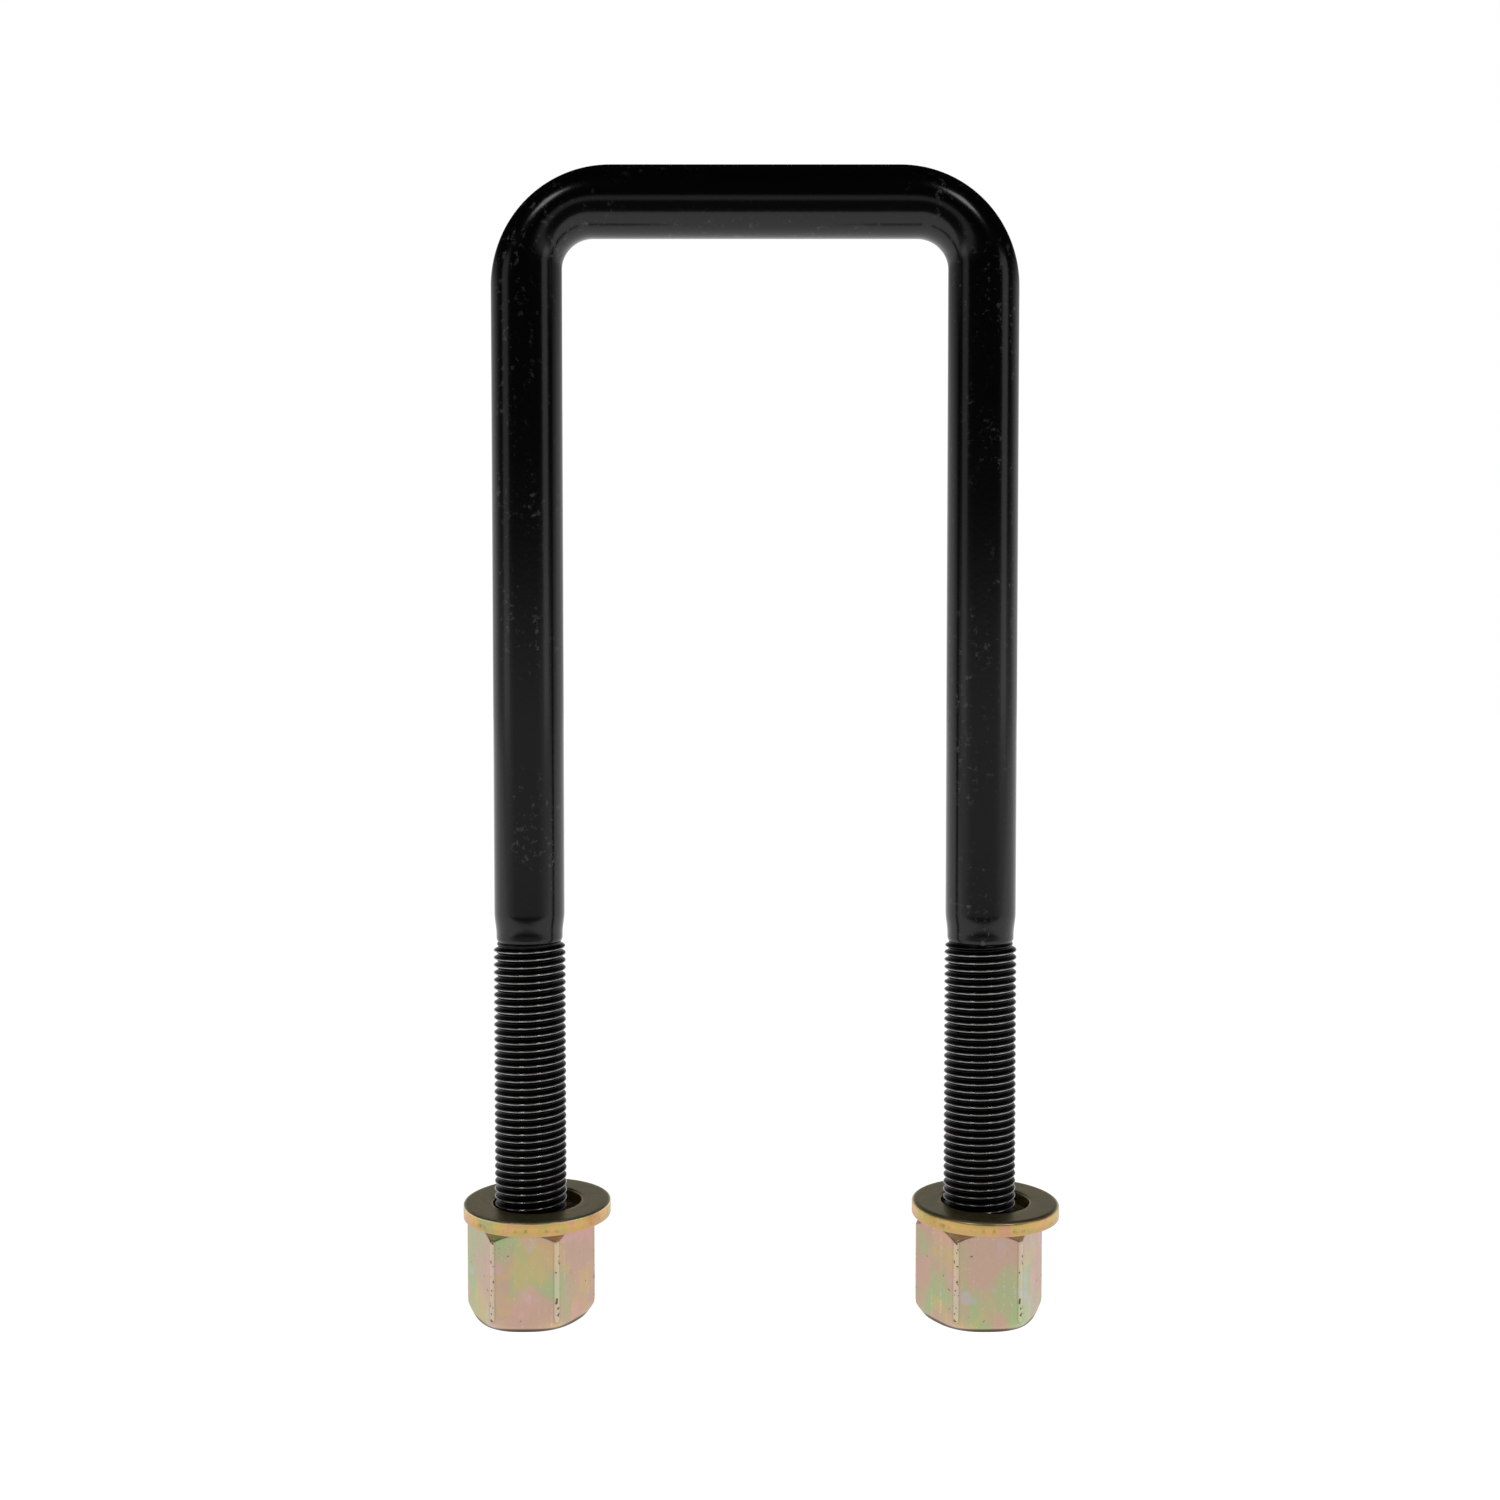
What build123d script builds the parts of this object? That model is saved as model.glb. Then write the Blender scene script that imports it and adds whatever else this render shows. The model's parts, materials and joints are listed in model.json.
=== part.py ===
from build123d import *
import math
import os

os.makedirs("parts", exist_ok=True)

# Overall sizes, mm. Origin: floor level, midway between the legs. +X runs from
# the left leg to the right leg, -Y is the front, +Z is up.
LEG_SPACING = 75.2
HEIGHT = 190.2
SHANK_D = 11.6
INSIDE_BEND_R = 5.0
OUTSIDE_BEND_R = 19.8

# Threaded end of each leg: M12 x 1.25, right-handed.
PITCH = 1.25
CREST_R = 6.0
PITCH_R = 5.594
ROOT_R = 5.19
FLANK_DEG = 30.0
LEG_END_Z = 0.6
LEG_END_CHAMFER = 0.4
THREAD_BOTTOM_Z = 1.6
THREAD_SINK = 0.05
THREAD_TOP_Z = 62.8
NECK_D = 10.95
NECK_TOP_Z = 64.3
SHANK_BOTTOM_Z = 66.8

# Bends: the outside follows a wider arc than the inside, so the bar is thinner there.
BEND_SECTIONS = 9

# Tall hexagon nuts.
NUT_AF = 18.7
NUT_HEIGHT = 16.5
NUT_FACE_R = 9.05
NUT_CORNER_R = 0.5
NUT_BORE_R = 5.4
NUT_MOUTH_CHAMFER = 0.3
THREAD_CLEARANCE = 0.1
LEFT_NUT_DEG = 0.8
RIGHT_NUT_DEG = 1.7

# Plain washers lying loose on the nuts, pushed to one side.
WASHER_D = 24.5
WASHER_HOLE_D = 14.7
WASHER_T = 2.3
WASHER_EDGE_R = 0.2
WASHER_Z = NUT_HEIGHT + 0.1
LEFT_WASHER_SHIFT = 1.1
RIGHT_WASHER_SHIFT = 1.0


def thread_half_width(radius):
    """Half the width of the thread's ridge at a radius."""
    return PITCH / 4 - (radius - PITCH_R) * math.tan(math.radians(FLANK_DEG))


def helix_ridge(bottom_z, top_z, foot_r, tip_r, foot_half, tip_half):
    """A right-handed thread ridge about the Z axis, with a trapezoidal section."""
    with BuildPart() as ridge:
        with BuildLine():
            path = Helix(PITCH, top_z - bottom_z, CREST_R, center=(0, 0, bottom_z))
        with BuildSketch(Plane(origin=path @ 0, x_dir=(1, 0, 0), z_dir=path % 0)):
            Polygon(
                (foot_r - CREST_R, -foot_half),
                (foot_r - CREST_R, foot_half),
                (tip_r - CREST_R, tip_half),
                (tip_r - CREST_R, -tip_half),
                align=None,
            )
        sweep(path=path, is_frenet=True)
    return ridge.part


def threaded_leg():
    """One straight leg on the Z axis: threaded end, neck, taper and shank."""
    shank_top = HEIGHT - OUTSIDE_BEND_R
    foot_r = ROOT_R - THREAD_SINK
    with BuildPart() as leg:
        with BuildSketch(Plane.XY.offset(LEG_END_Z)):
            Circle(ROOT_R)
        extrude(amount=THREAD_TOP_Z - LEG_END_Z)
        chamfer(leg.faces().sort_by(Axis.Z)[0].edges(), LEG_END_CHAMFER)
        add(
            helix_ridge(
                THREAD_BOTTOM_Z,
                THREAD_TOP_Z - PITCH / 2,
                foot_r,
                CREST_R,
                thread_half_width(foot_r),
                thread_half_width(CREST_R),
            )
        )
        with BuildSketch(Plane.XY.offset(THREAD_TOP_Z)):
            Circle(NECK_D / 2)
        extrude(amount=NECK_TOP_Z - THREAD_TOP_Z)
        with BuildSketch(Plane.XY.offset(NECK_TOP_Z)):
            Circle(NECK_D / 2)
        with BuildSketch(Plane.XY.offset(SHANK_BOTTOM_Z)):
            Circle(SHANK_D / 2)
        loft()
        with BuildSketch(Plane.XY.offset(SHANK_BOTTOM_Z)):
            Circle(SHANK_D / 2)
        extrude(amount=shank_top - SHANK_BOTTOM_Z)
    return leg.part


def inside_corner():
    """Centre of the left bend's inside arc, in the XZ plane."""
    across = -LEG_SPACING / 2 + SHANK_D / 2 + INSIDE_BEND_R
    return Vector(across, 0, HEIGHT - SHANK_D - INSIDE_BEND_R)


def outside_corner():
    """Centre of the left bend's outside arc, in the XZ plane."""
    across = -LEG_SPACING / 2 - SHANK_D / 2 + OUTSIDE_BEND_R
    return Vector(across, 0, HEIGHT - OUTSIDE_BEND_R)


def bend_section(step):
    """Plane and half thickness of one cross-section of the left bend."""
    inner = inside_corner()
    turn = math.pi / 2 * step / (BEND_SECTIONS - 1)
    outward = Vector(-math.cos(turn), 0, math.sin(turn))
    along = Vector(math.sin(turn), 0, math.cos(turn))
    offset = inner - outside_corner()
    lean = outward.dot(offset)
    reach = math.sqrt(lean**2 - offset.dot(offset) + OUTSIDE_BEND_R**2) - lean
    middle = inner + outward * ((reach + INSIDE_BEND_R) / 2)
    return Plane(origin=middle, x_dir=outward, z_dir=along), (reach - INSIDE_BEND_R) / 2


def left_bend():
    """The quarter turn from the left leg to the top bar."""
    corner = outside_corner()
    leg_end = Plane(
        origin=(-LEG_SPACING / 2, 0, corner.Z), x_dir=(-1, 0, 0), z_dir=(0, 0, 1)
    )
    bar_end = Plane(
        origin=(corner.X, 0, HEIGHT - SHANK_D / 2), x_dir=(0, 0, 1), z_dir=(1, 0, 0)
    )
    sections = [bend_section(step) for step in range(BEND_SECTIONS)]
    sections = [(leg_end, SHANK_D / 2), *sections, (bar_end, SHANK_D / 2)]
    with BuildPart() as bend:
        for plane, half_thick in sections:
            with BuildSketch(plane):
                Ellipse(half_thick, SHANK_D / 2)
        loft()
    return bend.part


def at_bore(edge):
    """True for a circular edge at the wall of a nut's bore."""
    return abs(edge.radius - CREST_R - THREAD_CLEARANCE) < 0.01


def tall_nut(hex_deg):
    """A tall hexagon nut standing on the XY plane, threaded right through."""
    corner_r = NUT_AF / math.sqrt(3)
    drop = corner_r - NUT_FACE_R
    gap = THREAD_CLEARANCE / math.cos(math.radians(FLANK_DEG))
    groove_r = CREST_R + THREAD_CLEARANCE
    foot_r = groove_r + THREAD_SINK
    with BuildPart() as nut:
        with BuildSketch() as outline:
            RegularPolygon(corner_r, 6, rotation=hex_deg)
            fillet(outline.vertices(), NUT_CORNER_R)
        extrude(amount=NUT_HEIGHT)
        with BuildSketch(Plane.XZ):
            Polygon(
                (0, 0),
                (NUT_FACE_R, 0),
                (corner_r, drop),
                (corner_r, NUT_HEIGHT - drop),
                (NUT_FACE_R, NUT_HEIGHT),
                (0, NUT_HEIGHT),
                align=None,
            )
        revolve(axis=Axis.Z, mode=Mode.INTERSECT)
        with BuildSketch():
            Circle(groove_r)
        extrude(amount=NUT_HEIGHT, mode=Mode.SUBTRACT)
        chamfer(
            nut.edges().filter_by(GeomType.CIRCLE).filter_by(at_bore),
            NUT_MOUTH_CHAMFER,
        )
        add(
            helix_ridge(
                THREAD_BOTTOM_Z - PITCH / 2,
                NUT_HEIGHT - PITCH / 2 - NUT_MOUTH_CHAMFER,
                foot_r,
                NUT_BORE_R,
                PITCH / 2 - thread_half_width(foot_r) - gap,
                PITCH / 2 - thread_half_width(NUT_BORE_R) - gap,
            )
        )
    return nut.part


def plain_washer():
    """A flat ring standing on the XY plane, its edges slightly rounded."""
    with BuildPart() as ring:
        with BuildSketch():
            Circle(WASHER_D / 2)
            Circle(WASHER_HOLE_D / 2, mode=Mode.SUBTRACT)
        extrude(amount=WASHER_T)
        fillet(ring.edges().filter_by(GeomType.CIRCLE), WASHER_EDGE_R)
    return ring.part


leg_shape = threaded_leg()
bend_shape = left_bend()
bar_half = -outside_corner().X

with BuildPart() as u_bolt:
    with Locations((-LEG_SPACING / 2, 0, 0), (LEG_SPACING / 2, 0, 0)):
        add(leg_shape)
    add(bend_shape)
    add(mirror(bend_shape, about=Plane.YZ, mode=Mode.PRIVATE))
    with BuildSketch(Plane.YZ.offset(-bar_half)):
        with Locations((0, HEIGHT - SHANK_D / 2)):
            Circle(SHANK_D / 2)
    extrude(amount=2 * bar_half)
u_bolt.part.label = "u_bolt"
export_step(u_bolt.part, "parts/u_bolt.step")

with BuildPart() as left_nut:
    with Locations((-LEG_SPACING / 2, 0, 0)):
        add(tall_nut(LEFT_NUT_DEG))
left_nut.part.label = "left_nut"
export_step(left_nut.part, "parts/left_nut.step")

with BuildPart() as right_nut:
    with Locations((LEG_SPACING / 2, 0, 0)):
        add(tall_nut(RIGHT_NUT_DEG))
right_nut.part.label = "right_nut"
export_step(right_nut.part, "parts/right_nut.step")

with BuildPart() as left_washer:
    with Locations((-LEG_SPACING / 2 + LEFT_WASHER_SHIFT, 0, WASHER_Z)):
        add(plain_washer())
left_washer.part.label = "left_washer"
export_step(left_washer.part, "parts/left_washer.step")

with BuildPart() as right_washer:
    with Locations((LEG_SPACING / 2 + RIGHT_WASHER_SHIFT, 0, WASHER_Z)):
        add(plain_washer())
right_washer.part.label = "right_washer"
export_step(right_washer.part, "parts/right_washer.step")
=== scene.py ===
import json
import math

import bpy
import numpy as np
from mathutils import Euler, Matrix, Vector


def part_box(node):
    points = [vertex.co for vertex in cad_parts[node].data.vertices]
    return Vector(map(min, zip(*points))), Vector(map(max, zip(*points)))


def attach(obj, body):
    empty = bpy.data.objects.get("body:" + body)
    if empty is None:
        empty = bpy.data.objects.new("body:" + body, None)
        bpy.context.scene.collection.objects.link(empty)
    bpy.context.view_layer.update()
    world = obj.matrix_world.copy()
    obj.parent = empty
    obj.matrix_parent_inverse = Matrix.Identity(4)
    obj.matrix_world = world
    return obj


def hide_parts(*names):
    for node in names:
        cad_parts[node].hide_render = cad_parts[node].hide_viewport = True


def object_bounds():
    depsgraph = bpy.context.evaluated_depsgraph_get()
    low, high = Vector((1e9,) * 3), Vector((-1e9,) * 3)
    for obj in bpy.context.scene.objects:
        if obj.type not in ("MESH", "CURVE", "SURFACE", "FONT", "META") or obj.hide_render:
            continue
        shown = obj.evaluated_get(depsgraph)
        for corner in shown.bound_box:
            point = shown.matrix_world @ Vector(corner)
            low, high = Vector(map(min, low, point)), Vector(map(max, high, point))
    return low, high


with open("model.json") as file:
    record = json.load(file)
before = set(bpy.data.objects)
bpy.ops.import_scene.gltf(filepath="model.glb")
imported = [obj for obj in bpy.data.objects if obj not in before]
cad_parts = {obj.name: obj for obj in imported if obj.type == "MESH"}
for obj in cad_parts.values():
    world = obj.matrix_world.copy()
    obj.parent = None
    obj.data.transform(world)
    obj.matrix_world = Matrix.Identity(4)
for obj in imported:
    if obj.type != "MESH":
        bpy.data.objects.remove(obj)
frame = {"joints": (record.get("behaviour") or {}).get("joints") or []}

cad_low, cad_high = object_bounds()

# ------------------------------------------------------------------ sizes, metres
ROD_LOW, ROD_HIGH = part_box("u_bolt")
NUT_LOW, NUT_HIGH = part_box("left_nut")
WASHER_LOW, WASHER_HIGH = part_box("left_washer")
JOINT_PLACE = {j["name"]: j.get("pos_m") for j in frame["joints"]}
LEFT_X = JOINT_PLACE["left_nut_turn"][0]
RIGHT_X = JOINT_PLACE["right_nut_turn"][0]

PITCH = 0.00125
CREST_R = ROD_HIGH.x - RIGHT_X
PITCH_R = 0.005594
ROOT_R = 0.00519
FLANK = math.tan(math.radians(30))
LEG_END = ROD_LOW.z
THREAD_TOP = 0.0628
NECK_R = 0.005475
NECK_TOP = 0.0643
SHANK_BOTTOM = 0.0668
SHANK_R = 0.0058
INSIDE_BEND_R = 0.0050
OUTSIDE_BEND_R = 0.0198
TOP_Z = 0.1902
# height of a thread crest on each leg's +X side
CREST_Z = {"left": 0.00172, "right": 0.00248}

NUT_HALF_AF = 0.00935
NUT_HEIGHT = NUT_HIGH.z - NUT_LOW.z
NUT_FACE_R = 0.00905
NUT_CORNER_R = 0.0009
NUT_BORE_R = 0.0054
NUT_GROOVE_R = 0.0061
NUT_TURN = {"left": math.radians(0.8), "right": math.radians(1.7)}

WASHER_R = (WASHER_HIGH.x - WASHER_LOW.x) / 2
WASHER_HOLE_R = 0.00735
WASHER_T = WASHER_HIGH.z - WASHER_LOW.z


# ------------------------------------------------------------------ mesh helpers
def surface(name, points, close_rows, close_columns, flip=False):
    """A piece from a grid of points (rows, columns, 3). Rows or columns that close are
    joined last to first; points that coincide at a pole are merged."""
    rows, columns = points.shape[:2]
    r = np.arange(rows if close_rows else rows - 1)
    c = np.arange(columns if close_columns else columns - 1)
    a, b = np.meshgrid(r, c, indexing="ij")
    a2, b2 = (a + 1) % rows, (b + 1) % columns
    quads = np.stack(
        [a * columns + b, a * columns + b2, a2 * columns + b2, a2 * columns + b], -1
    ).reshape(-1, 4)
    if flip:
        quads = quads[:, ::-1]
    flat = points.reshape(-1, 3)
    keys = np.round(flat * 1e8).astype(np.int64)
    _, first, same = np.unique(keys, axis=0, return_index=True, return_inverse=True)
    quads = same.reshape(-1)[quads]
    corners = flat[first]
    repeated = quads == np.roll(quads, -1, axis=1)
    whole = quads[repeated.sum(1) == 0]
    pinched = quads[repeated.sum(1) == 1]
    keep = ~repeated[repeated.sum(1) == 1]
    triangles = pinched[keep].reshape(-1, 3)
    mesh = bpy.data.meshes.new(name)
    mesh.vertices.add(len(corners))
    mesh.vertices.foreach_set("co", corners.astype(np.float32).ravel())
    loops = np.concatenate([whole.ravel(), triangles.ravel()])
    sizes = np.concatenate([np.full(len(whole), 4), np.full(len(triangles), 3)])
    starts = np.concatenate([[0], np.cumsum(sizes)[:-1]])
    mesh.loops.add(len(loops))
    mesh.loops.foreach_set("vertex_index", loops.astype(np.int32))
    mesh.polygons.add(len(sizes))
    mesh.polygons.foreach_set("loop_start", starts.astype(np.int32))
    mesh.polygons.foreach_set("use_smooth", np.ones(len(sizes), bool))
    mesh.update(calc_edges=True)
    mesh.validate()
    piece = bpy.data.objects.new(name, mesh)
    bpy.context.scene.collection.objects.link(piece)
    return piece


def dress(piece, body, slot, material, *nodes):
    """Hang a piece on its body and give it its material; the slot is not used."""
    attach(piece, body)
    if nodes:
        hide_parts(*nodes)
    piece.data.materials.append(material)
    return piece


def smooth_step(x, low, high):
    """0 below low, 1 above high, an S-curve between."""
    t = np.clip((x - low) / (high - low), 0, 1)
    return t * t * (3 - 2 * t)


def soft_clip(value, low, high, soft):
    """value held between low and high, with rounded shoulders of width soft."""
    held = high - soft * np.logaddexp(0, (high - value) / soft)
    return low + soft * np.logaddexp(0, (held - low) / soft)


# ------------------------------------------------------------------ the rod
def thread_radius(theta, z, crest_z):
    """Radius of the threaded leg: the distance along the axis from the nearest crest,
    crest_z + PITCH * theta / turn, sets a 60 degree flank between root and crest."""
    turn = (z - crest_z) / PITCH - theta / (2 * np.pi)
    away = np.abs(turn - np.round(turn)) * PITCH
    flank = PITCH_R + (PITCH / 4 - away) / FLANK
    return soft_clip(flank, ROOT_R, CREST_R + 0.00002, 0.00008)


def threaded_leg(name, centre_x, crest_z):
    """Rings up the Z axis: radius = thread profile, faded in over the first pitch and out
    over the last one, with a chamfered point at the bottom and closed ends."""
    rows = np.arange(LEG_END + 0.0001, THREAD_TOP + 0.0003, PITCH / 15)
    columns = np.linspace(0, 2 * np.pi, 112, endpoint=False)
    z, theta = np.meshgrid(rows, columns, indexing="ij")
    radius = thread_radius(theta, z, crest_z)
    fade = 1 - smooth_step(z, THREAD_TOP - 1.1 * PITCH, THREAD_TOP - 0.1 * PITCH)
    radius = ROOT_R + (radius - ROOT_R) * fade
    point = ROOT_R - 0.0003 + 0.9 * (z - LEG_END)
    radius = np.minimum(radius, point)
    radius = np.minimum(radius, CREST_R)
    ends = np.zeros((1, len(columns)))
    radius = np.vstack([ends, radius[:1] - 0.0001, radius, ends])
    z = np.vstack([ends + LEG_END, ends + LEG_END, z, ends + z[-1, 0]])
    theta = np.vstack([theta[:2], theta, theta[:1]])
    points = np.stack(
        [centre_x + radius * np.cos(theta), radius * np.sin(theta), z], -1
    )
    return surface(name, points, False, True)


def leg_stations():
    """Heights up one leg from its neck to its bend, close together at the taper, and the
    bar's half thickness at each."""
    heights = np.concatenate(
        [
            [THREAD_TOP - 0.0006, THREAD_TOP - 0.0004, THREAD_TOP],
            np.linspace(THREAD_TOP + 0.0003, SHANK_BOTTOM + 0.002, 22),
            np.linspace(SHANK_BOTTOM + 0.003, TOP_Z - OUTSIDE_BEND_R, 60, endpoint=False),
        ]
    )
    grow = smooth_step(heights, NECK_TOP - 0.0006, SHANK_BOTTOM + 0.0006)
    half = NECK_R + (SHANK_R - NECK_R) * grow
    half[0] = 0.0
    half[1] = ROOT_R
    half[2] = NECK_R - 0.0001
    return heights, half


def bend_stations():
    """Inside point, outward angle and thickness of the bar round the left bend. The
    inside is an arc of INSIDE_BEND_R; the outside is a tangent arc of OUTSIDE_BEND_R that
    starts further down the leg and ends further along the bar, so the bar thins between."""
    lead = OUTSIDE_BEND_R - 2 * SHANK_R - INSIDE_BEND_R
    inner_x = LEFT_X + SHANK_R + INSIDE_BEND_R
    inner_z = TOP_Z - 2 * SHANK_R - INSIDE_BEND_R
    along = np.linspace(0, lead, 8, endpoint=False)
    turn = np.linspace(0, np.pi / 2, 48)
    ux, uz = -np.cos(turn), np.sin(turn)
    lean = lead * (ux - uz)
    reach = lean + np.sqrt(lean**2 - 2 * lead**2 + OUTSIDE_BEND_R**2)
    straight = np.sqrt(OUTSIDE_BEND_R**2 - along**2) - OUTSIDE_BEND_R + 2 * SHANK_R
    x = np.concatenate(
        [0 * along + LEFT_X + SHANK_R, inner_x + INSIDE_BEND_R * ux, inner_x + lead - along[::-1]]
    )
    z = np.concatenate(
        [inner_z - lead + along, inner_z + INSIDE_BEND_R * uz, 0 * along + TOP_Z - 2 * SHANK_R]
    )
    angle = np.concatenate([0 * along, turn, 0 * along + np.pi / 2])
    thick = np.concatenate([straight, reach - INSIDE_BEND_R, straight[::-1]])
    return x, z, angle, thick


def bent_bar(name):
    """An elliptical section carried up the left leg, round the bend, along the top and
    down the right leg, with the legs' own radius at the neck and taper."""
    heights, half = leg_stations()
    bend_x, bend_z, bend_angle, thick = bend_stations()
    across = np.linspace(LEFT_X - SHANK_R + OUTSIDE_BEND_R, 0, 24)
    ux, uz = -np.cos(bend_angle), np.sin(bend_angle)
    x = np.concatenate([0 * heights + LEFT_X, bend_x + thick / 2 * ux, across])
    z = np.concatenate([heights, bend_z + thick / 2 * uz, 0 * across + TOP_Z - SHANK_R])
    angle = np.concatenate([0 * heights, bend_angle, 0 * across + np.pi / 2])
    in_plane = np.concatenate([half, thick / 2, 0 * across + SHANK_R])
    out_plane = np.concatenate([half, 0 * thick + SHANK_R, 0 * across + SHANK_R])
    mirror = slice(-2, None, -1)
    x = np.concatenate([x, -x[mirror]])
    z = np.concatenate([z, z[mirror]])
    angle = np.concatenate([angle, np.pi - angle[mirror]])
    in_plane = np.concatenate([in_plane, in_plane[mirror]])
    out_plane = np.concatenate([out_plane, out_plane[mirror]])
    phi = np.linspace(0, 2 * np.pi, 128, endpoint=False)
    outward = np.stack([-np.cos(angle), 0 * angle, np.sin(angle)], -1)
    centre = np.stack([x, 0 * x, z], -1)
    side = (in_plane[:, None] * np.cos(phi))[..., None] * outward[:, None, :]
    depth = (out_plane[:, None] * np.sin(phi))[..., None] * np.array([0.0, 1.0, 0.0])
    return surface(name, centre[:, None, :] + side + depth, False, True, flip=True)


# ------------------------------------------------------------------ nuts
def hexagon_radius(theta):
    """Radius of a hexagon with a flat towards -Y and corners rounded to NUT_CORNER_R."""
    sector = np.mod(theta + np.pi / 2 + np.pi / 6, np.pi / 3) - np.pi / 6
    flat = NUT_HALF_AF / np.cos(sector)
    from_corner = np.pi / 6 - np.abs(sector)
    hub = (NUT_HALF_AF - NUT_CORNER_R) / math.cos(math.pi / 6)
    inside = NUT_CORNER_R**2 - (hub * np.sin(from_corner)) ** 2
    arc = hub * np.cos(from_corner) + np.sqrt(np.maximum(inside, 0))
    on_arc = from_corner < math.atan2(
        NUT_CORNER_R / 2, hub + NUT_CORNER_R * math.cos(math.pi / 6)
    )
    return np.where(on_arc, arc, flat)


def corner_spaced_angles(per_side):
    """Angles round a hexagon, packed towards its corners."""
    t = np.linspace(-1, 1, per_side, endpoint=False)
    eased = np.sign(t) * (1 - (1 - np.abs(t)) ** 1.7)
    sides = np.arange(6)[:, None] * np.pi / 3 - np.pi / 2
    return (sides + eased * np.pi / 6).ravel()


def soft_min(values, soft):
    """Smallest of several arrays, rounded where two of them meet."""
    stack = np.stack(values)
    low = stack.min(0)
    return low - soft * np.log(np.exp(-(stack - low) / soft).sum(0))


def tall_nut(name, centre_x, turn, crest_z):
    """One closed profile carried round the axis: up the outside (hexagon radius cut by a
    45 degree cone at each end), in over the top, down the threaded bore, out below."""
    theta = corner_spaced_angles(48)
    ease = np.linspace(0, 1, 15) ** 1.3 * 0.0024
    outer_z = np.concatenate(
        [ease, np.linspace(0.0026, NUT_HEIGHT - 0.0026, 26), NUT_HEIGHT - ease[::-1]]
    )
    z, around = np.meshgrid(outer_z, theta, indexing="ij")
    hexagon = hexagon_radius(around)
    low_cone = NUT_FACE_R + 0.00035 + z + 0 * around
    high_cone = NUT_FACE_R + (NUT_HEIGHT - z) + 0 * around
    outer_r = soft_min([soft_min([hexagon, high_cone], 0.00006), low_cone], 0.0003)
    cap = np.array([0.97, 0.9, 0.8, 0.72])[:, None]
    mouth_r = NUT_GROOVE_R + 0.0003
    top_r = mouth_r + (outer_r[-1:] - mouth_r) * (cap - 0.68) / 0.32
    bottom_r = mouth_r + (outer_r[:1] - mouth_r) * (cap[::-1] - 0.68) / 0.32
    bore_z = np.linspace(NUT_HEIGHT, 0, 150)
    bz, bt = np.meshgrid(bore_z, theta, indexing="ij")
    turns = (bz - crest_z) / PITCH - (bt + turn) / (2 * np.pi)
    away = np.abs(turns - np.round(turns)) * PITCH
    wall = PITCH_R + 0.0001 + (PITCH / 4 - away) / FLANK
    wall = np.clip(wall, NUT_BORE_R, NUT_GROOVE_R)
    from_end = np.minimum(bz, NUT_HEIGHT - bz)
    wall = np.maximum(wall, mouth_r - from_end * 0.9)
    radius = np.vstack([outer_r, top_r, wall, bottom_r])
    height = np.vstack([z, 0 * top_r + NUT_HEIGHT, bz, 0 * bottom_r])
    around = np.broadcast_to(theta + turn, radius.shape)
    points = np.stack(
        [centre_x + radius * np.cos(around), radius * np.sin(around), NUT_LOW.z + height],
        -1,
    )
    return surface(name, points, True, True)


# ------------------------------------------------------------------ washers
def plain_washer(name, centre_x, bottom_z, roll):
    """A closed profile carried round the axis: a flat ring whose top outer edge is rolled
    over by `roll` and whose bottom outer edge is nearly square; the hole's edges are rounded."""
    theta = np.linspace(0, 2 * np.pi, 240, endpoint=False)
    arc = np.linspace(0, np.pi / 2, 7)

    def rounded(r0, z0, size_r, size_z, quarter):
        """A quarter ellipse at one corner of the profile."""
        spin = arc + quarter * np.pi / 2
        return np.stack([r0 + size_r * np.cos(spin), z0 + size_z * np.sin(spin)], -1)

    hole = WASHER_HOLE_R
    square = 0.00012
    profile = np.concatenate(
        [
            rounded(WASHER_R - square, square, square, square, 3),
            rounded(WASHER_R - roll, WASHER_T - roll * 0.7, roll, roll * 0.7, 0),
            np.stack([np.linspace(0.0112, 0.0082, 8), np.full(8, WASHER_T)], -1),
            rounded(hole + 0.0003, WASHER_T - 0.0003, 0.0003, 0.0003, 1),
            rounded(hole + square, square, square, square, 2),
        ]
    )
    profile = profile[np.concatenate([[True], np.abs(np.diff(profile, axis=0)).sum(1) > 1e-9])]
    r, z = profile[:, :1], profile[:, 1:]
    points = np.stack(
        [
            centre_x + r * np.cos(theta),
            r * np.sin(theta),
            bottom_z + z + 0 * theta,
        ],
        -1,
    )
    return surface(name, points, True, True)


# ------------------------------------------------------------------ shader maths
class Field:
    """A shader socket with arithmetic: each operator adds one Math node."""

    def __init__(self, paint, socket):
        self.paint = paint
        self.socket = socket

    def _math(self, kind, *values):
        return self.paint.node(
            "ShaderNodeMath", {"operation": kind}, dict(enumerate(values))
        )

    def __add__(self, other):
        return self._math("ADD", self, other)

    def __radd__(self, other):
        return self._math("ADD", other, self)

    def __sub__(self, other):
        return self._math("SUBTRACT", self, other)

    def __rsub__(self, other):
        return self._math("SUBTRACT", other, self)

    def __mul__(self, other):
        return self._math("MULTIPLY", self, other)

    def __rmul__(self, other):
        return self._math("MULTIPLY", other, self)

    def __pow__(self, other):
        return self._math("POWER", self, other)

    def clamp(self):
        return self._math("MINIMUM", self._math("MAXIMUM", self, 0.0), 1.0)


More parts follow.
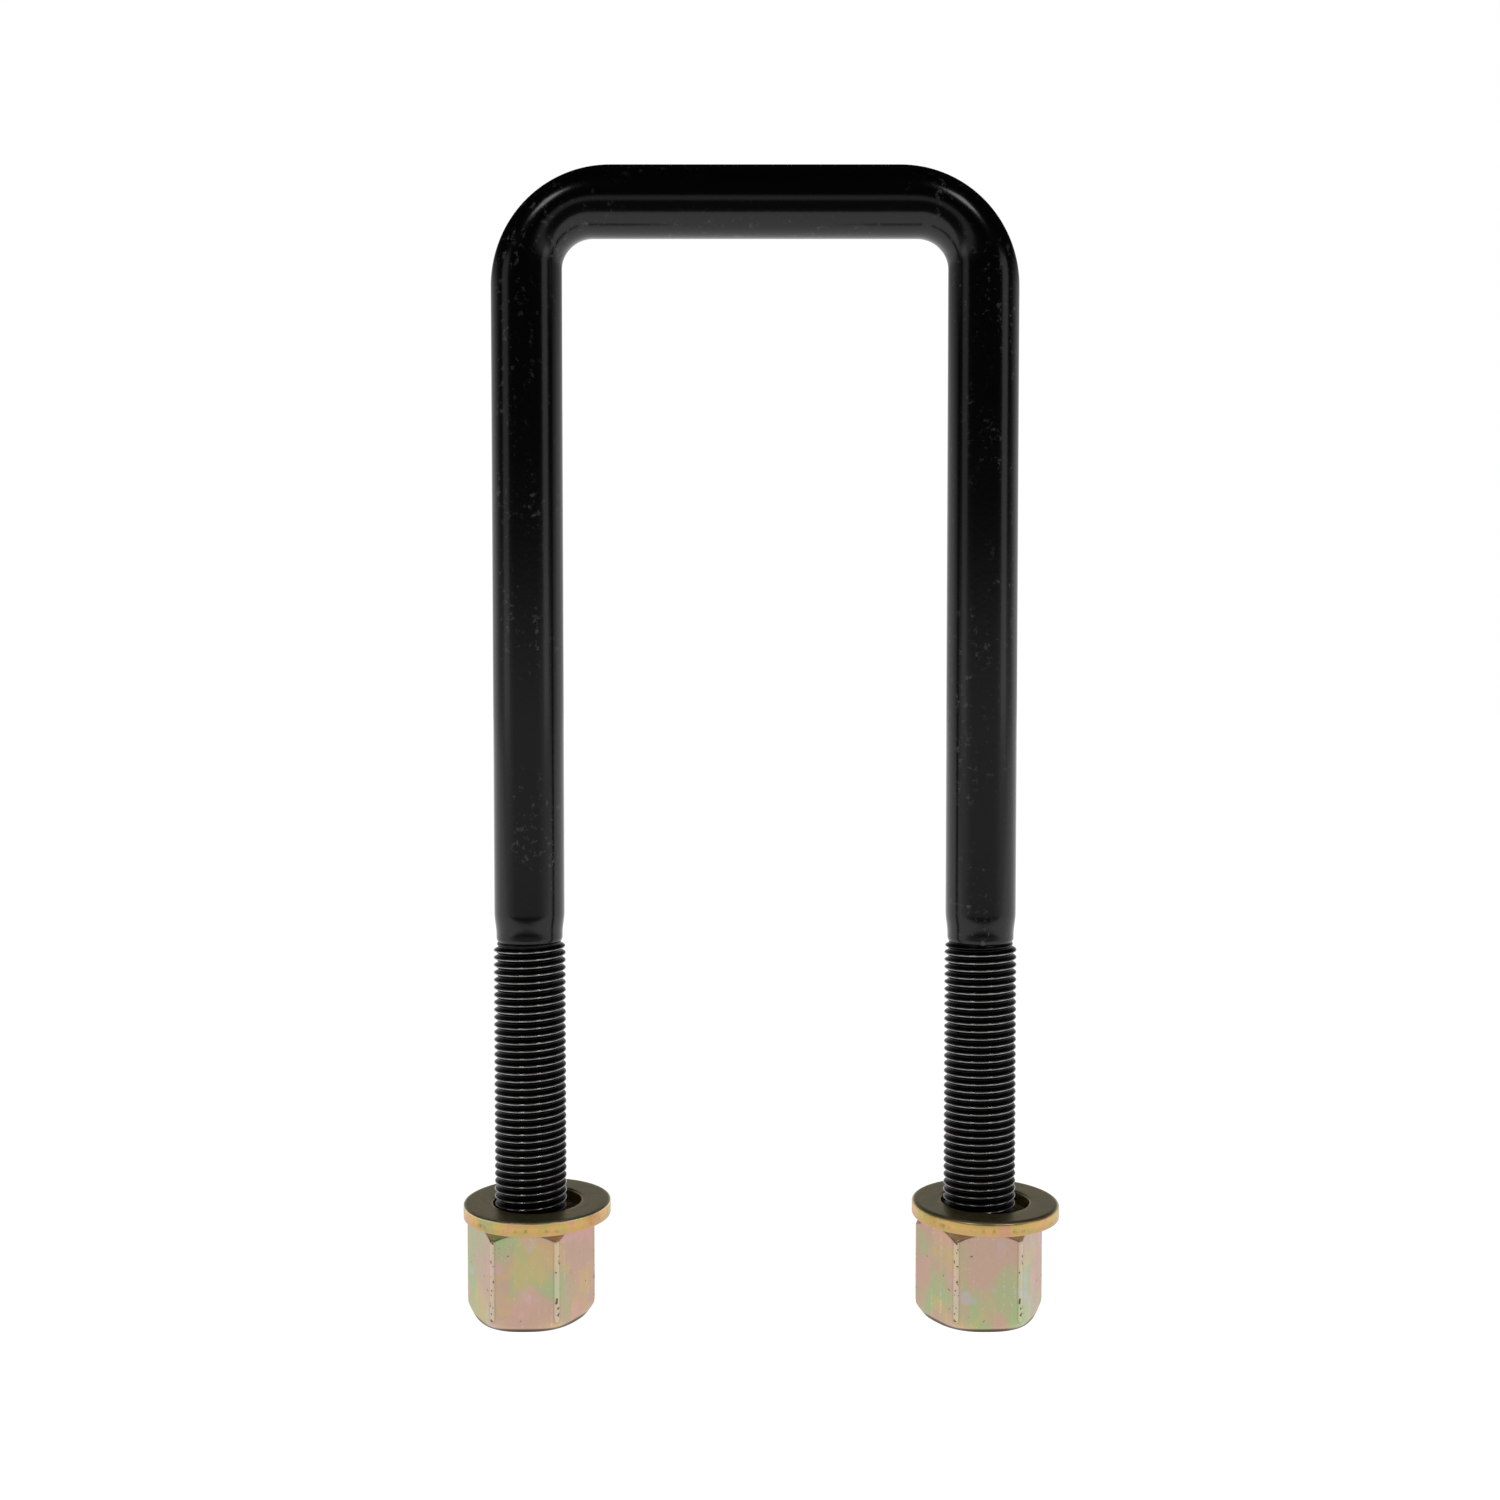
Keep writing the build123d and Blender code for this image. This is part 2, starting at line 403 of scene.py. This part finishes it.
class Paint:
    """The nodes of one material or world: `node` adds any node, with its settings first
    and then its sockets."""

    def __init__(self, owner):
        owner.use_nodes = True
        self.owner = owner
        self.tree = owner.node_tree
        self.tree.nodes.clear()

    def node(self, kind, settings=None, sockets=None, output=0):
        made = self.tree.nodes.new(kind)
        for key, value in (settings or {}).items():
            if key == "stops":
                ramp = made.color_ramp
                while len(ramp.elements) < len(value):
                    ramp.elements.new(0.5)
                for element, (place, colour) in zip(ramp.elements, value):
                    element.position = place
                    element.color = (*colour, 1.0)
            else:
                setattr(made, key, value)
        for key, value in (sockets or {}).items():
            if isinstance(value, Field):
                self.tree.links.new(value.socket, made.inputs[key])
            else:
                made.inputs[key].default_value = value
        return Field(self, made.outputs[output]) if made.outputs else None

    def place(self, centre=(0, 0, 0), turn=(0, 0, 0), scale=(1, 1, 1)):
        """Object coordinates measured from a centre, turned and stretched."""
        here = self.node("ShaderNodeTexCoord", output=3)
        moved = self.node(
            "ShaderNodeMapping",
            {"vector_type": "POINT"},
            {"Vector": here, "Location": tuple(-c for c in centre)},
        )
        return self.node(
            "ShaderNodeMapping",
            {"vector_type": "POINT"},
            {"Vector": moved, "Rotation": turn, "Scale": scale},
        )

    def noise(self, where, scale, detail=2.0, roughness=0.5, distortion=0.0):
        return self.node(
            "ShaderNodeTexNoise",
            {},
            {
                "Vector": where,
                "Scale": scale,
                "Detail": detail,
                "Roughness": roughness,
                "Distortion": distortion,
            },
        )

    def ramp(self, factor, stops):
        made = self.node("ShaderNodeValToRGB", {"stops": stops}, {"Fac": factor})
        made.socket.node.color_ramp.interpolation = "EASE"
        return made

    def mask(self, value, low, high):
        """0 where value is below low, 1 above high."""
        return self.node(
            "ShaderNodeMapRange",
            {"interpolation_type": "SMOOTHSTEP"},
            {"Value": value, "From Min": low, "From Max": high},
        )

    def blend(self, factor, a, b, mode="MIX"):
        made = self.node(
            "ShaderNodeMix",
            {"data_type": "RGBA", "blend_type": mode},
            {"Factor": factor},
            output=2,
        )
        for socket, value in zip(made.socket.node.inputs[6:8], (a, b)):
            if isinstance(value, Field):
                self.tree.links.new(value.socket, socket)
            else:
                socket.default_value = (*value, 1.0)
        return made

    def axis(self, where, name):
        made = self.node("ShaderNodeSeparateXYZ", {}, {"Vector": where})
        return Field(self, made.socket.node.outputs[name])

    def finish(self, **sockets):
        """The surface shader: keyword names are socket names with _ for a space."""
        named = {key.replace("_", " "): value for key, value in sockets.items()}
        shader = self.node("ShaderNodeBsdfPrincipled", {}, named)
        self.node("ShaderNodeOutputMaterial", {}, {"Surface": shader})
        return self.owner


def black_paint(name, gloss, speckle):
    """Semi-gloss black paint: fine orange peel, slow waves, dust and pale scuffs."""
    paint = Paint(bpy.data.materials.new(name))
    here = paint.place()
    slow = paint.noise(here, 60.0, 2.0)
    dust = paint.noise(here, 900.0, 4.0, 0.7)
    streaks = paint.noise(paint.place(scale=(1, 1, 0.12)), 700.0, 3.0, 0.6)
    specks = paint.mask(dust * 0.7 + streaks * 0.3, 0.55, 0.66) * paint.mask(
        slow, 0.42, 0.62
    )
    colour = paint.blend(
        specks * speckle, (0.0018, 0.0018, 0.002), (0.085, 0.083, 0.08)
    )
    rough = gloss + (slow - 0.5) * 0.06 + specks * 0.12
    peel = paint.noise(here, 1100.0, 2.0, 0.5)
    normal = paint.node(
        "ShaderNodeBump",
        {},
        {"Strength": 0.06, "Distance": 0.0001, "Height": peel + slow * 1.5},
    )
    return paint.finish(
        Base_Color=colour, Roughness=rough, Normal=normal, IOR=1.42
    )


def thread_paint(name, centre):
    """Thin black paint on the thread: almost black in the grooves; along the crests a grey,
    metallic band that is partly paint rubbed through and partly a painted highlight for the
    bright lines light draws on the crests."""
    paint = Paint(bpy.data.materials.new(name))
    here = paint.place(centre=centre)
    x, y = (paint.axis(here, axis) for axis in "XY")
    crest = paint.mask((x * x + y * y) ** 0.5, CREST_R - 0.00017, CREST_R - 0.00007)
    # painted highlight and rubbed paint: the crests turn grey and metallic
    crest_sheen_and_wear = crest * (0.55 + paint.noise(here, 260.0, 2.0) * 0.7)
    colour = paint.blend(crest_sheen_and_wear, (0.0008, 0.0008, 0.001), (0.40, 0.395, 0.38))
    rough = 0.30 - crest * 0.14
    return paint.finish(
        Base_Color=colour, Roughness=rough, Metallic=crest * 0.9, IOR=1.3
    )


def zinc_nut_finish(name, centre, shift):
    """Yellow zinc on a nut: pinkish tan with soft green, gold, pink and lilac bloom, a painted
    highlight along the corners with painted shade on the flats beside them, painted shade along
    the bottom edge, drawn marks up the flats and tiny dark chips."""
    paint = Paint(bpy.data.materials.new(name))
    here = paint.place(centre=centre)
    x, y, z = (paint.axis(here, axis) for axis in "XYZ")
    out = (x * x + y * y) ** 0.5
    green_at = paint.place(centre=(centre[0] + shift, 0, 0), scale=(1, 1, 0.7))
    gold_at = paint.place(centre=(centre[0], shift, 0), turn=(0.3, 0, 0))
    pink_at = paint.place(centre=(centre[0], 0, shift))
    colour = paint.blend(
        paint.mask(paint.noise(green_at, 120.0, 2.0, 0.5, 0.3), 0.44, 0.66),
        (0.51, 0.345, 0.265),
        (0.35, 0.44, 0.22),
    )
    gold = paint.mask(paint.noise(gold_at, 150.0, 2.0, 0.5, 0.3), 0.50, 0.68)
    colour = paint.blend(gold * 0.6, colour, (0.58, 0.41, 0.18))
    pink = paint.mask(paint.noise(pink_at, 170.0, 2.0, 0.5, 0.3), 0.50, 0.66)
    colour = paint.blend(pink * 0.7, colour, (0.62, 0.34, 0.32))
    lilac = paint.mask(paint.noise(pink_at, 210.0, 2.0, 0.5), 0.58, 0.70)
    colour = paint.blend(lilac * 0.5, colour, (0.48, 0.42, 0.50))
    drawn = paint.noise(paint.place(scale=(1, 1, 0.06)), 1500.0, 2.0, 0.6)
    grain = paint.noise(here, 2600.0, 2.0, 0.6)
    pale = paint.mask(drawn * 0.5 + grain * 0.5, 0.56, 0.66)
    colour = paint.blend(pale * 0.3, colour, (0.72, 0.66, 0.58))
    corner = paint.mask(out, 0.01050, 0.01060)
    # painted shade: a darker band on each flat just inside the corner highlight
    corner_side_shade = paint.mask(out, 0.01040, 0.01050) - corner
    colour = paint.blend(corner_side_shade.clamp() * 0.3, colour, (0.22, 0.15, 0.09))
    # painted highlight: a pale line along each rounded corner of the hexagon
    colour = paint.blend(corner * 0.38, colour, (0.74, 0.66, 0.52))
    # painted shade: a dark line along the nut's bottom edge, standing for the shadow gap under it
    bottom_edge_shade = paint.mask(0.0007 - z, 0.0, 0.0003)
    colour = paint.blend(bottom_edge_shade * 0.9, colour, (0.07, 0.045, 0.025))
    nicks = paint.noise(here, 1400.0, 1.0)
    chips = paint.mask(nicks + corner * 0.12, 0.74, 0.79)
    colour = paint.blend(chips * 0.8, colour, (0.08, 0.06, 0.03))
    rough = 0.36 + (grain - 0.5) * 0.25 + chips * 0.2
    waves = paint.noise(here, 420.0, 3.0)
    normal = paint.node(
        "ShaderNodeBump",
        {},
        {"Strength": 0.3, "Distance": 0.00012, "Height": waves * 0.9 + drawn * 0.35},
    )
    return paint.finish(Base_Color=colour, Roughness=rough, Metallic=0.85, Normal=normal)


def zinc_washer_finish(name, centre, shift):
    """Yellow zinc on a washer: olive bronze flat, gold rim with pink and green shifts,
    and a broken band low on the rim where the blank tore."""
    paint = Paint(bpy.data.materials.new(name))
    here = paint.place(centre=centre)
    x, y, z = (paint.axis(here, axis) for axis in "XYZ")
    out = (x * x + y * y) ** 0.5
    rim = paint.mask(out, WASHER_R - 0.00035, WASHER_R - 0.0001)
    patch = paint.noise(paint.place(centre=(centre[0] + shift, 0, 0)), 260.0, 3.0, 0.6, 0.3)
    flat = paint.ramp(
        patch,
        [
            (0.35, (0.42, 0.33, 0.17)),
            (0.50, (0.52, 0.42, 0.21)),
            (0.62, (0.44, 0.44, 0.22)),
            (0.72, (0.56, 0.42, 0.32)),
        ],
    )
    gold = paint.ramp(
        patch,
        [
            (0.34, (0.62, 0.34, 0.22)),
            (0.46, (0.66, 0.42, 0.15)),
            (0.56, (0.60, 0.44, 0.14)),
            (0.66, (0.42, 0.43, 0.19)),
        ],
    )
    colour = paint.blend(rim, flat, gold)
    torn = paint.noise(paint.place(centre=centre, scale=(1, 1, 0.35)), 900.0, 4.0, 0.7)
    band = paint.mask(z, 0.0004, 0.0008) * paint.mask(0.0016 - z, 0.0002, 0.0006)
    marks = rim * band * paint.mask(torn, 0.54, 0.62)
    colour = paint.blend(marks * 0.3, colour, (0.20, 0.12, 0.05))
    scratch = paint.noise(
        paint.place(turn=(0, 0, 0.6), scale=(0.08, 1, 1)), 2200.0, 2.0, 0.6
    )
    lines = paint.mask(scratch, 0.62, 0.72)
    colour = paint.blend(lines * 0.45, colour, (0.72, 0.60, 0.40))
    under = rim * paint.mask(0.0013 - z, 0.0, 0.0009)
    colour = paint.blend(under * 0.35, colour, (0.42, 0.25, 0.12))
    # painted highlight: a pale cream line along the rolled top edge of the rim
    lip_highlight = paint.mask(out, WASHER_R - 0.00055, WASHER_R - 0.0003) * paint.mask(z, 0.0019, 0.0021)
    colour = paint.blend(lip_highlight * 0.85, colour, (0.90, 0.80, 0.56))
    rough = 0.36 + (patch - 0.5) * 0.2 + marks * 0.2
    normal = paint.node(
        "ShaderNodeBump",
        {},
        {"Strength": 0.2, "Distance": 0.0001, "Height": torn * 0.6 + scratch * 0.4},
    )
    return paint.finish(Base_Color=colour, Roughness=rough, Metallic=0.9, Normal=normal)


# ------------------------------------------------------------------ build the pieces
dress(
    bent_bar("bent_bar"),
    "rod", "black_paint", black_paint("black paint on bar", 0.17, 0.9), "u_bolt",
)
SIDES = (("left", LEFT_X, 0.013, 0.0004), ("right", RIGHT_X, 0.047, 0.0007))
for side, leg_x, shift, roll in SIDES:
    low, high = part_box(side + "_washer")
    washer_x = (low.x + high.x) / 2
    dress(
        threaded_leg(side + "_leg_thread", leg_x, CREST_Z[side]),
        "rod", "black_paint",
        thread_paint(side + " thread paint", (leg_x, 0, 0)),
    )
    dress(
        tall_nut(side + "_tall_nut", leg_x, NUT_TURN[side], CREST_Z[side]),
        side + "_nut", "zinc_nut",
        zinc_nut_finish(side + " nut zinc", (leg_x, 0, 0), shift),
        side + "_nut",
    )
    dress(
        plain_washer(side + "_plain_washer", washer_x, low.z, roll),
        side + "_washer", "zinc_washer",
        zinc_washer_finish(side + " washer zinc", (washer_x, 0, low.z), shift),
        side + "_washer",
    )


# ------------------------------------------------------------------ stage and light
def stage_floor():
    """A white table, wider than the view, that stays even and almost shadowless. It ends
    a little way in front of the part."""
    bpy.ops.mesh.primitive_plane_add(size=1.0)
    floor = bpy.context.object
    floor.name = "table"
    floor.data.transform(Matrix.Diagonal((6.0, 6.17, 1.0, 1.0)))
    floor.data.transform(Matrix.Translation((0, 3.085 - 0.17, cad_low.z - 0.00005)))
    paint = Paint(bpy.data.materials.new("white table"))
    diffuse = paint.node("ShaderNodeBsdfDiffuse", {}, {"Color": (0.8, 0.8, 0.8, 1)})
    glow = paint.node(
        "ShaderNodeEmission", {}, {"Color": (1, 1, 1, 1), "Strength": 1.0}
    )
    both = paint.node("ShaderNodeAddShader", {}, {0: diffuse, 1: glow})
    paint.node("ShaderNodeOutputMaterial", {}, {"Surface": both})
    floor.data.materials.append(paint.owner)


def softbox(name, place, aim, size, power):
    """A rectangular studio light."""
    data = bpy.data.lights.new(name, "AREA")
    data.shape = "RECTANGLE"
    data.size, data.size_y = size
    data.energy = power
    lamp = bpy.data.objects.new(name, data)
    lamp.location = place
    lamp.rotation_euler = (Vector(aim) - Vector(place)).to_track_quat("-Z", "Y").to_euler()
    bpy.context.scene.collection.objects.link(lamp)


def surroundings():
    """White to the camera; for light and reflections, a room that is bright low at the
    back, grey low in front and at the sides, and dark above."""
    world = bpy.data.worlds.new("studio")
    bpy.context.scene.world = world
    room = Paint(world)
    way = room.node("ShaderNodeTexCoord", output=0)
    x, y, z = (room.axis(way, axis) for axis in "XYZ")
    low_back = room.mask(0.0 - z, -0.42, -0.10) * room.mask(y, -0.1, 0.6) * 0.9
    front = room.mask(0.0 - z, -0.10, 0.0) * room.mask(0.0 - y, -0.2, 0.3) * 0.66
    deep = room.mask(0.0 - z, 0.14, 0.22)
    front = front * (1.0 - deep * 0.92)
    flank = room.mask(0.0 - z, -0.16, 0.0) * room.mask(x * x, 0.35, 0.8) * 0.30
    light = low_back + front + flank + 0.008
    dark = room.node("ShaderNodeBackground", {}, {"Strength": light})
    white = room.node("ShaderNodeBackground", {}, {"Color": (1, 1, 1, 1), "Strength": 1.0})
    rays = room.node("ShaderNodeLightPath", output=0)
    both = room.node("ShaderNodeMixShader", {}, {0: rays, 1: dark, 2: white})
    room.node("ShaderNodeOutputWorld", {}, {"Surface": both})


def camera():
    """The view: almost level, a little above the middle of the part."""
    data = bpy.data.cameras.new("view")
    data.sensor_width = 36.0
    data.lens = 1600 / 1500 * 36.0
    data.clip_start = 0.01
    eye = bpy.data.objects.new("view", data)
    eye.location = (-0.00084, -0.2657, 0.10395)
    eye.rotation_euler = Euler((math.radians(90 - 2.063), 0, 0))
    bpy.context.scene.collection.objects.link(eye)
    bpy.context.scene.camera = eye


stage_floor()
surroundings()
softbox("left strip", (-0.62, -0.26, 0.26), (0, 0, 0.12), (0.24, 0.36), 0.16)
softbox("right strip", (0.62, -0.26, 0.26), (0, 0, 0.12), (0.24, 0.36), 0.24)
softbox("left high lamp", (-0.30, -0.42, 0.62), (0, 0, 0.15), (0.14, 0.14), 0.35)
softbox("right high lamp", (0.30, -0.42, 0.62), (0, 0, 0.15), (0.14, 0.14), 0.35)
camera()
bpy.context.scene.view_settings.view_transform = "Standard"
bpy.context.scene.view_settings.look = "None"
